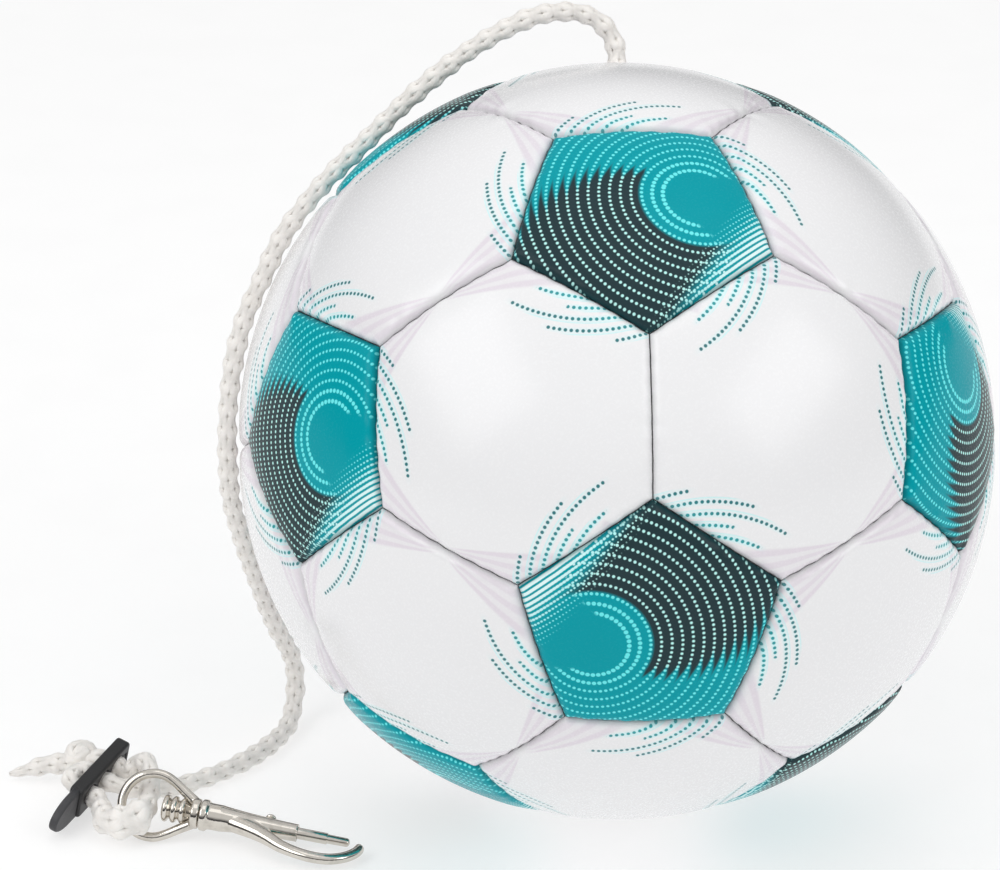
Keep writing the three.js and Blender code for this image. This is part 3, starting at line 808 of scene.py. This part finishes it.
def build_valve():
    profile = [(0.9, 98.2), (3.7, 98.2), (3.7, 109.0), (3.4, 109.35), (2.3, 109.4), (1.9, 109.1),
               (1.1, 108.8), (0.9, 108.2), (0.9, 98.2)]
    lathe("valve", profile, pointing(valve_way, ball_centre), valve_rubber, body=ROOT,
          replaces=("inflation_valve",), slot="valve_rubber")


# ---------------------------------------------------------------- rope
STRANDS, STRAND_SIDES = 8, 9
STRAND_WIDE, STRAND_THICK = 1.42, 0.92
STRAND_OUT, STRAND_LIFT = 1.9, 0.34  # from the rope's middle, and how far it weaves in and out
CORE_RADIUS, CORE_SIDES = 1.95, 10


def braid_surface(path, at, side, up, grow, phase):
    """A braid's points, faces, print coordinates and depths, and the step of the path that each
    point belongs to. The strands weave round a core."""
    rise = np.sin(2 * np.pi * np.arange(STRAND_SIDES) / STRAND_SIDES)
    parts = []
    for strand in range(STRANDS):
        way = 1 if strand % 2 else -1
        start = phase + (strand // 2) * np.pi / 2 + (np.pi / 4 if way > 0 else 0)
        theta = (start + way * 2 * np.pi * at / BRAID_PITCH)[:, None]
        lift = way * np.cos(4 * (theta - phase))
        out = side * np.cos(theta) + up * np.sin(theta)
        across = up * np.cos(theta) - side * np.sin(theta)
        middles = path + out * (STRAND_OUT + STRAND_LIFT * lift) * grow[:, None]
        verts = rings(middles, across, out, STRAND_WIDE * grow, STRAND_THICK * grow, STRAND_SIDES)
        # how deep each strand point lies in the weave; the rope's material darkens deep points, and
        # the core, as painted shade
        depths = np.clip(0.62 - 0.38 * lift - 0.35 * rise, 0, 1).ravel()
        parts.append((verts, depths, STRAND_SIDES, strand * 3.7))
    core = rings(path, side, up, CORE_RADIUS * grow, CORE_RADIUS * grow, CORE_SIDES)
    parts.append((core, np.full(len(core), 0.9), CORE_SIDES, 0.0))

    verts, faces = merged([(part, tube_faces(len(at), sides)) for part, _, sides, _ in parts])
    depths = np.concatenate([depth for _, depth, _, _ in parts])
    steps = np.concatenate([np.repeat(np.arange(len(at)), sides) for _, _, sides, _ in parts])
    along = np.concatenate([np.repeat(at / 10 + shift, sides) for _, _, sides, shift in parts])
    around = np.concatenate([np.tile(np.arange(sides) / sides, len(at)) for _, _, sides, _ in parts])
    return verts, faces, np.stack([along, around], axis=1), depths, steps


def braid(name, points, replaces, scale=None, phase=0.0, step=0.8, blend_to=None, spread=None):
    """An eight-strand braid along points, in millimetres. scale gives its thickness along it, and
    spread a direction and how many times wider the pressed rope is that way."""
    path, at = centripetal(points, step)
    tangents, side, up = frames_along(path)
    grow = np.ones(len(at)) if scale is None else np.array([scale(s / at[-1]) for s in at])
    grow = grow * (1 + 0.035 * np.sin(at / 5.3 + phase) + 0.02 * np.sin(at / 2.1))
    verts, faces, uv, depths, steps = braid_surface(path, at, side, up, grow, phase)
    if spread:
        wide_way = units(spread[0] - tangents * (tangents @ spread[0])[:, None])
        extra = np.array([spread[1](s / at[-1]) - 1 for s in at])
        offset = ((verts - path[steps]) * wide_way[steps]).sum(axis=1) * extra[steps]
        verts += offset[:, None] * wide_way[steps]
    verts[:, 2] = np.maximum(verts[:, 2], 0.05)
    piece = make_mesh(name, verts, faces, rope_material, body=None)
    corners = uv[[loop.vertex_index for loop in piece.data.loops]]
    piece.data.uv_layers.new(name="strand").data.foreach_set("uv", corners.ravel())
    attribute = piece.data.attributes.new("depth", "FLOAT", "POINT")
    attribute.data.foreach_set("value", depths)
    finish_piece(piece, ROOT, replaces, "rope", blend_to)
    return piece


# The rope slider's frame: along it from the tip of its tongue, and out along its rope holes.
SLIDER_LENGTH, SLIDER_WIDTH, SLIDER_THICK = 40.0, 11.0, 4.4
TONGUE_LENGTH, TONGUE_THICK = 14.0, 2.6
SLIDER_HOLES = (18.5, 26.0, 33.5)  # loop, long run, knot
SLIDER_LEAN = 16
slider_tip, slider_end = vec(-166.1, -37, 5.3), vec(-147, -3.5, 10.3)
along_slider = unit(slider_end - slider_tip)
level_face = unit(np.cross(along_slider, vec(0, 0, 1)))
lean_over = Matrix.Rotation(math.radians(SLIDER_LEAN), 3, Vector(along_slider))
hole_way = vec(*(lean_over @ Vector(level_face)))
across_slider = np.cross(hole_way, along_slider)
slider_face = SLIDER_THICK / 2 + TOUCH_GAP + 0.2


def at_hole(index, out):
    return slider_tip + along_slider * SLIDER_HOLES[index] + hole_way * out


# The hook's frame: x from the middle of the eye to its tip, y level, z up. The eye leans back.
RING_LEAN = 33
eye_centre, bolt_tip = vec(-136.6, -33.2, 9.6), vec(-79.9, -46.5, 3.4)
hook_way = unit(bolt_tip - eye_centre)
hook_side = unit(np.cross(vec(0, 0, 1), hook_way))
hook_up = np.cross(hook_way, hook_side)
hook_frame = frame_from(eye_centre, hook_way, hook_side, hook_up)
eye_frame = hook_frame @ Matrix.Rotation(math.radians(-RING_LEAN), 4, "X")


def in_eye(*rows):
    return placed(eye_frame, rows)


rope_exit = ball_centre + exit_way * (BALL_RADIUS + TOUCH_GAP)
RUN = [
    (2.6, 55, 210), (1.3, 56.7, 214.2), (-2.3, 58, 218.4), (-7.9, 58.3, 221.1),
    (-19, 55.2, 222), (-30.5, 51, 218.9), (-44.4, 46, 211.8), (-58.3, 40, 202.2),
    (-70.9, 34.8, 191.4), (-84.8, 28.8, 179.2), (-95.8, 23, 166.6), (-102.5, 18, 154.4),
    (-107.8, 13.6, 143.6), (-111, 10, 131.8), (-112.8, 6.6, 118.8), (-113.2, 5, 104.7),
    (-112.4, 7, 88.8), (-108.6, 13, 70.6), (-104, 21, 51), (-99.4, 28.4, 34.5),
    (-95.2, 34.6, 21.5), (-94.3, 35.4, 15.2), (-94.4, 33.2, 9.1), (-95.5, 28.5, 4.8),
    (-97.2, 22.5, 3.3), (-101.8, 13.4, 3.2), (-108, 5, 3.2), (-115.2, -2, 3.2),
    (-123, -7.8, 3.2), (-130.4, -12.2, 3.4), (-137.4, -15.6, 4.6), (-142.2, -17.2, 5.7),
    (-146.8, -17.2, 6.9),
]
KNOT_OUT, KNOT_SIZE = 7.9, 1.05  # how far the knot's middle is from the slider's back, and its scale


def build_rope():
    """The long run, with its path from the ball to the slider, and the rope's other pieces."""
    route = [rope_exit, *RUN, at_hole(1, slider_face)]
    inside = ball_centre + exit_way * (BALL_RADIUS - 3.0)
    main = braid("rope_run", [inside, *route, at_hole(1, 1.0)], ("rope_main",))
    path, _ = centripetal(route, 3.0)
    return main, path, [build_bight(), build_ring_loop(), build_knot_and_tail()]


def build_bight():
    """The short turn of rope on the slider's back."""
    bend = (at_hole(0, -slider_face) + at_hole(1, -slider_face)) / 2
    radius = (SLIDER_HOLES[1] - SLIDER_HOLES[0]) / 2
    arc = [bend + radius * (along_slider * math.cos(a) - hole_way * math.sin(a))
           for a in np.linspace(0, math.pi, 9)]
    return braid("rope_turn", [at_hole(1, -1.0), *arc, at_hole(0, -1.0)], ("rope_bight",),
                 scale=lambda t: 0.98, phase=0.6)


def build_ring_loop():
    """The loop through the hook's ring, pressed flat in the ring."""
    points = [
        at_hole(0, 1.0), at_hole(0, slider_face),
        *in_eye((-16.4, 5.4, -2.6), (-14.4, 0.6, -5.4), (-11.8, -4.3, -7.0), (-7.0, -6.4, -6.6),
                (-2.7, -4.6, -4.2), (-2.0, 0.2, -1.4), (-2.6, 4.8, 2.6), (-3.5, 8.7, 7.2),
                (-6, 12.4, 11.6), (-9.6, 16.3, 12)),
        at_hole(2, slider_face + 3.5), at_hole(2, slider_face), at_hole(2, 1.0),
    ]
    eye_up = in_eye((0, 0, 1))[0] - in_eye((0, 0, 0))[0]
    return braid("rope_ring_loop", points, ("rope_loop",), phase=1.1,
                 scale=lambda t: 1 + 0.14 * math.exp(-((t - 0.36) / 0.2) ** 2),
                 spread=(eye_up, lambda t: 1 + 0.6 * math.exp(-((t - 0.38) / 0.18) ** 2)),
                 blend_to=(EYE, at_hole(1, 7) * MM, eye_centre * MM))


def build_knot_and_tail():
    """An overhand stopper knot and the rope's tapered, melted end."""
    centre = at_hole(2, -slider_face - KNOT_OUT) + vec(0, 0, -4.0)
    tip = vec(-180.6, -0.8, 2.4)
    tail_way = unit(tip - centre)
    side = unit(np.cross(tail_way, hole_way))
    other = np.cross(side, tail_way)
    knot = []
    for t in np.linspace(0.45, 2 * math.pi - 0.45, 26):
        u = t + math.pi / 3
        x = math.sin(u) + 2 * math.sin(2 * u)
        y = math.cos(u) - 2 * math.cos(2 * u)
        z = -1.35 * math.sin(3 * u)
        knot.append(centre + KNOT_SIZE * (side * x + tail_way * z + other * y))
    points = [at_hole(2, -1.0), at_hole(2, -slider_face), *knot, centre + tail_way * 6.2,
              centre + tail_way * 10.5 + vec(0, 0, 0.5), tip - tail_way * 3, tip]

    def thickness(t):
        if t < 0.8:
            return 1.0 + 0.16 * math.sin(math.pi * min(t / 0.8, 0.75))
        return 1.11 - 0.85 * ((t - 0.8) / 0.2) ** 1.4

    return braid("rope_knot_and_tail", points, ("stopper_knot", "rope_tail"),
                 scale=thickness, phase=0.3, step=0.7)


# ---------------------------------------------------------------- rope slider
def plate(name, outline, holes, thick, bevel):
    """The mesh of a flat plate with round edges, from its outline and those of its holes."""
    curve = bpy.data.curves.new(name, "CURVE")
    curve.dimensions, curve.fill_mode = "2D", "BOTH"
    curve.extrude, curve.bevel_depth = (thick / 2 - bevel) * MM, bevel * MM
    curve.bevel_resolution, curve.offset = 3, -bevel * MM
    for ring in (outline, *holes):
        spline = curve.splines.new("POLY")
        spline.points.add(len(ring) - 1)
        spline.use_cyclic_u = True
        for point, (x, y) in zip(spline.points, ring):
            point.co = (x * MM, y * MM, 0, 1)
    holder = add_object(name, curve)
    bpy.context.view_layer.update()
    shape = holder.evaluated_get(bpy.context.evaluated_depsgraph_get())
    mesh = bpy.data.meshes.new_from_object(shape)
    bpy.data.objects.remove(holder)
    return mesh


def rounded_box(x0, x1, y0, y1, r):
    ring = []
    middles = ((x1 - r, y1 - r), (x0 + r, y1 - r), (x0 + r, y0 + r), (x1 - r, y0 + r))
    for corner, (cx, cy) in enumerate(middles):
        for step in range(7):
            a = math.radians(90 * corner + 15 * step)
            ring.append((cx + r * math.cos(a), cy + r * math.sin(a)))
    return ring


def round_hole(x, r):
    turns = np.linspace(0, 2 * math.pi, 32, endpoint=False)
    return [(x + r * math.cos(a), r * math.sin(a)) for a in turns]


def slider_plates():
    """The body with its rope holes and an end slot, and the thinner tongue."""
    half = SLIDER_WIDTH / 2
    neck = TONGUE_LENGTH - 2
    holes = [round_hole(x, ROPE_RADIUS + 0.2) for x in SLIDER_HOLES]
    holes.append(rounded_box(SLIDER_LENGTH - 3.0, SLIDER_LENGTH - 1.5, -1.9, 1.9, 0.5))
    body = plate("body", rounded_box(neck, SLIDER_LENGTH, -half, half, 1.6), holes, SLIDER_THICK, 0.8)
    side, tip = half - 0.1, 9
    turns = np.linspace(math.pi / 2, 1.5 * math.pi, 28)
    arc = [(tip + tip * math.cos(a), side * math.sin(a)) for a in turns]
    tongue = plate("tongue", [(neck + 1, side), *arc, (neck + 1, -side)], [], TONGUE_THICK, 0.7)
    return body, tongue


def build_slider():
    joined = bmesh.new()
    for number, plate_mesh in enumerate(slider_plates()):
        before = len(joined.faces)
        joined.from_mesh(plate_mesh)
        joined.faces.ensure_lookup_table()
        for face in joined.faces[before:]:
            face.material_index = number
            face.smooth = True
    bmesh.ops.remove_doubles(joined, verts=joined.verts, dist=1e-6)
    mesh = bpy.data.meshes.new("rope_slider_body")
    joined.to_mesh(mesh)
    joined.free()
    mesh.transform(frame_from(slider_tip * MM, along_slider, across_slider, hole_way))
    mesh.materials.append(slider_plastic)
    # the tongue gets the lighter copy of the black plastic, as painted light
    mesh.materials.append(lit_tongue_plastic)
    piece = add_object("slider", mesh)
    piece.modifiers.new("normals", "WEIGHTED_NORMAL").keep_sharp = True
    finish_piece(piece, ROOT, ("rope_slider",), "black_plastic")
    return piece


# ---------------------------------------------------------------- snap hook
CASTING_GRID = 0.22
RING_RADIUS, RING_WIRE, HOOK_WIRE = 9.3, 1.4, 1.7
BOW_HALF_GAP = 57.5  # degrees from the hook's line where the ring's legs leave its arc
SHANK_END = 19.5
BOLT_RADIUS, BOLT_END, BOLT_TRAVEL, KNOB_AT = 1.7, 59.2, 8.0, 34.5
BORE_START, BORE_END, BORE_RADIUS = 22.0, 43.6, 1.86


def swept(points, radius, sides=20, step=0.5, squash=None):
    """Points and faces of a round wire along a curve, its radius given by a function of 0 to 1."""
    path, at = centripetal(points, step)
    _, side, up = frames_along(path)
    high = np.array([radius(t) for t in at / at[-1]])
    wide = high if squash is None else high * np.array([squash(t) for t in at / at[-1]])
    return rings(path, side, up, wide, high, sides), tube_faces(len(path), sides)


def turned(profile):
    """Points and faces of a solid of revolution about the X axis, from (radius, x) pairs."""
    segments = 40
    radii, heights = np.array(profile, float).T
    verts = rings(heights[:, None] * vec(1, 0, 0), vec(0, 1, 0), vec(0, 0, 1), radii, radii, segments)
    return verts, tube_faces(len(profile), segments)


def cast(name, shapes, frame_matrix, cuts, smooth, **facts):
    """Shapes grown into one casting: joined on a fine grid, smoothed and then bored."""
    verts, faces = merged(shapes)
    piece = make_mesh(name, placed(frame_matrix, verts), faces, nickel, body=None)
    remesh = piece.modifiers.new("cast", "REMESH")
    remesh.mode, remesh.voxel_size = "VOXEL", CASTING_GRID * MM
    remesh.use_smooth_shade = True
    soften = piece.modifiers.new("soften", "SMOOTH")
    soften.iterations, soften.factor = smooth, 0.5
    tools = []
    for cut_verts, cut_faces in cuts:
        tool = make_mesh("cut", placed(frame_matrix, cut_verts), cut_faces, nickel, body=None)
        tools.append(tool)
        boolean = piece.modifiers.new("cut", "BOOLEAN")
        boolean.operation, boolean.object, boolean.solver = "DIFFERENCE", tool, "EXACT"
    applied(piece)
    for tool in tools:
        bpy.data.objects.remove(tool)
    piece.data.polygons.foreach_set("use_smooth", [True] * len(piece.data.polygons))
    piece.data.set_sharp_from_angle(angle=math.radians(35))
    finish_piece(piece, **facts)
    return piece


def box_shape(x0, x1, y0, y1, z0, z1):
    verts = [vec(x, y, z) for x in (x0, x1) for y in (y0, y1) for z in (z0, z1)]
    faces = [(0, 1, 3, 2), (4, 6, 7, 5), (0, 4, 5, 1), (2, 3, 7, 6), (0, 2, 6, 4), (1, 5, 7, 3)]
    return verts, faces


def build_eye_ring():
    bow = [(12.6, 0, 3.0), (8.8, 0, 5.42)]
    for a in np.radians(np.linspace(BOW_HALF_GAP, 360 - BOW_HALF_GAP, 16)):
        bow.append((RING_RADIUS * math.cos(a), 0, RING_RADIUS * math.sin(a)))
    bow += [(8.8, 0, -5.42), (12.6, 0, -3.0)]
    wire = swept(bow, lambda t: RING_WIRE * (1 + 0.18 * (2 * t - 1) ** 8))
    collar = turned([(0.01, 11.8), (4.1, 11.8), (4.5, 12.2), (4.5, 13.8), (4.2, 14.2), (0.01, 14.2)])
    hole = turned([(0.01, 5), (2.15, 5), (2.15, 20), (0.01, 20)])
    return cast("eye_ring", [wire, collar], eye_frame, [hole], 4, body=EYE,
                replaces=("swivel_eye",), slot="nickel")


# The lathe's Z runs along the hook.
hook_axis = hook_frame @ frame_from(vec(0, 0, 0), vec(0, 1, 0), vec(0, 0, 1), vec(1, 0, 0))


def build_rivet():
    """The ribbed stem that the hook turns on, and its shank in the ring and the barrel."""
    rib_round, rib_gap = 0.75, 2.05
    ribs = []
    for start, radius in ((3.2, 4.1), (5.7, 4.0), (8.2, 3.75)):
        for a in np.radians(np.linspace(-75, 75, 9)):
            out = radius - rib_round + rib_round * math.cos(a)
            ribs.append((out, start + 0.85 + 0.85 * math.sin(a)))
        ribs.append((2.75, start + rib_gap))
    profile = [(0, 3.0), (2.6, 3.0), (3.2, 3.1), *ribs, (2.4, 10.8), (1.9, 11.4), (1.9, SHANK_END),
               (0, SHANK_END)]
    return lathe("rivet", profile, hook_axis, nickel, body=HOOK, replaces=("swivel_rivet",),
                 slot="nickel")


def build_casting():
    """The hook's collar, barrel and jaw, with the bolt's bore and the knob's slot."""
    collar = [(0.01, 14.5), (4.3, 14.5), (4.65, 14.8), (4.7, 16.2), (4.45, 16.6), (4.0, 16.9),
              (3.95, 17.5)]
    taper = [(3.95, 20.5), (3.7, 22.5), (3.45, 25), (3.15, 29), (2.9, 34), (2.7, 39), (2.6, BORE_END)]
    barrel = turned([*collar, *taper, (0.01, BORE_END)])
    jaw_points = [(24, -0.9, 0), (28, -2.1, 0), (32, -3.7, 0), (36, -5.9, 0), (40, -8.2, -0.2),
                  (45, -10, -0.2), (50, -10.8, -0.2), (55, -10.2, -0.2), (59, -8, -0.1),
                  (61.5, -5, 0), (62.3, -2.4, 0), (61.8, -0.6, 0)]

    def jaw_radius(t):
        root = 1.15 * math.exp(-((t / 0.28) ** 2))
        return HOOK_WIRE + root - 0.12 * t + (-0.9 * ((t - 0.96) / 0.04) ** 2 if t > 0.96 else 0)

    jaw = swept(jaw_points, jaw_radius, squash=lambda t: 1 + 0.12 * math.sin(math.pi * t))
    bore = turned([(0.01, BORE_START), (BORE_RADIUS, BORE_START), (BORE_RADIUS, 60), (0.01, 60)])
    shank = turned([(0.01, 10), (2.2, 10), (2.2, 20), (0.01, 20)])
    knob_slot = box_shape(KNOB_AT - BOLT_TRAVEL - 1.3, KNOB_AT + 1.3, 0, 6, -0.95, 0.95)
    return cast("hook_casting", [barrel, jaw], hook_frame, [bore, shank, knob_slot], 5, body=HOOK,
                replaces=("hook_body",), slot="nickel")


def build_bolt_and_knob():
    shoulder, tip = 52.6, BOLT_END
    profile = [(0, 33), (1.5, 33), (BOLT_RADIUS, 33.2), (BOLT_RADIUS, shoulder - 0.4), (1.6, 52.5),
               (1.38, shoulder), (1.32, tip - 0.9), (1.05, tip - 0.35), (0.45, tip - 0.05), (0, tip)]
    bolt = lathe("bolt_pin", profile, hook_axis, nickel, body=BOLT, replaces=("spring_bolt",),
                 slot="nickel")
    upright = hook_frame @ frame_from(vec(KNOB_AT, 0, 0), vec(0, 0, 1), vec(1, 0, 0), vec(0, 1, 0))
    profile = [(0, 1.4), (0.7, 1.4), (0.7, 3.75), (1.4, 3.9), (1.7, 4.15), (1.7, 4.75), (1.4, 5.15),
               (0.9, 5.3), (0, 5.35)]
    knob = lathe("knob", profile, upright, nickel, body=BOLT, replaces=("thumb_knob",), slot="nickel")
    return bolt, knob


def build_coil_spring():
    """The bolt's coil spring, wound along the hook's axis."""
    coils, turn_steps, first, last, radius = 5, 16, 22.6, 31.0, 1.1
    helix = []
    for i in range(coils * turn_steps + 1):
        a = i / turn_steps * 2 * math.pi
        x = first + (last - first) * i / (coils * turn_steps)
        helix.append((x, radius * math.cos(a), radius * math.sin(a)))
    verts, faces = swept(placed(hook_frame, helix), lambda t: 0.18, sides=8, step=0.3)
    spring = make_mesh("coil_spring", verts, faces, spring_steel, body=None)
    fixed, moving = placed(hook_frame, [(first - 0.6, 0, 0), (last + 4.0, 0, 0)])
    finish_piece(spring, HOOK, ("bolt_spring",), "spring_steel", (BOLT, fixed * MM, moving * MM))
    return spring


def build_hook():
    return [build_eye_ring(), build_rivet(), build_casting(), *build_bolt_and_knob(),
            build_coil_spring()]


# ---------------------------------------------------------------- camera, light and floor
# Where the camera stands: degrees round and above the ball, degrees of roll, and its distance.
CAMERA_AZIMUTH, CAMERA_ELEVATION, CAMERA_ROLL = -5.683, 25.0, 1.526
CAMERA_DISTANCE = 1.0868
CAMERA_LENS = 133.93
BALL_OFF_AXIS = (1.7814, -0.097)  # degrees that the ball's middle is right of and above the axis
FLOOR_HALF = 6.0  # metres


def build_camera():
    a, e, roll = (math.radians(v) for v in (CAMERA_AZIMUTH, CAMERA_ELEVATION, CAMERA_ROLL))
    back = vec(math.sin(a) * math.cos(e), -math.cos(a) * math.cos(e), math.sin(e))
    level = vec(math.cos(a), math.sin(a), 0)
    upright = np.cross(back, level)
    right = level * math.cos(roll) + upright * math.sin(roll)
    up = upright * math.cos(roll) - level * math.sin(roll)
    data = bpy.data.cameras.new("camera")
    data.lens, data.sensor_width = CAMERA_LENS, 36
    camera = add_object("camera", data)
    bpy.context.scene.camera = camera
    eye = ball_centre * MM + back * CAMERA_DISTANCE
    tan_x, tan_y = (math.tan(math.radians(v)) for v in BALL_OFF_AXIS)
    forward = unit(-back - right * tan_x - up * tan_y)
    up = unit(up - forward * (up @ forward))
    right = np.cross(forward, up)
    camera.matrix_world = frame_from(eye, right, up, -forward)


def area_light(name, direction, distance, width, height, power):
    data = bpy.data.lights.new(name, "AREA")
    data.shape, data.size, data.size_y = "RECTANGLE", width, height
    data.energy = power
    light = add_object(name, data)
    light.matrix_world = pointing(direction, ball_centre * MM + unit(direction) * distance)


def build_stage():
    scene = bpy.context.scene
    scene.view_settings.view_transform = "Standard"
    world = bpy.data.worlds.new("studio")
    world.use_nodes = True
    scene.world = world
    tree = world.node_tree
    sky = tree.nodes["Background"]
    sky.inputs["Strength"].default_value = 0.8
    place = tree.nodes.new("ShaderNodeTexCoord").outputs["Generated"]
    height = separate(tree, place)[2]
    band = mix_colour(tree, height.fade(0.12, 0.62), (0.07, 0.07, 0.075), (1.0, 1.0, 1.0))
    tree.links.new(band, sky.inputs["Color"])

    floor = bpy.data.meshes.new("floor")
    corners = [(-FLOOR_HALF, -FLOOR_HALF, 0), (FLOOR_HALF, -FLOOR_HALF, 0),
               (FLOOR_HALF, FLOOR_HALF, 0), (-FLOOR_HALF, FLOOR_HALF, 0)]
    floor.from_pydata(corners, [], [(0, 1, 2, 3)])
    paper_floor = add_object("floor", floor)
    paper = grained("floor_paper", (0.46, 0.46, 0.46), 0.7, scale=300.0, strength=0.05,
                    other=(0.45, 0.45, 0.45))
    glow = paper.node_tree.nodes["Principled BSDF"].inputs
    glow["Emission Color"].default_value = (1, 1, 1, 1)
    glow["Emission Strength"].default_value = 0.56
    floor.materials.append(paper)

    area_light("key", vec(-0.703, -0.399, 0.588), 1.3, 0.62, 0.95, 4.2)
    area_light("fill", vec(0.693, -0.51, 0.509), 1.4, 0.55, 0.95, 3.8)
    area_light("top", vec(0.1, -0.1, 1.0), 1.5, 1.2, 0.9, 2.2)


# ---------------------------------------------------------------- building it
build_camera()
rope, rope_path, rope_pieces = build_rope()
slider = build_slider()
hook_pieces = build_hook()
list(rope_exit * MM)
(rope_path * MM).tolist()
build_cover()
build_stitches()
build_valve()
for node, material in (("bladder", latex), ("anchor_disc", felt), ("anchor_knot", inner_rope)):
    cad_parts[node].data.materials.clear()
    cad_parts[node].data.materials.append(material)
build_stage()
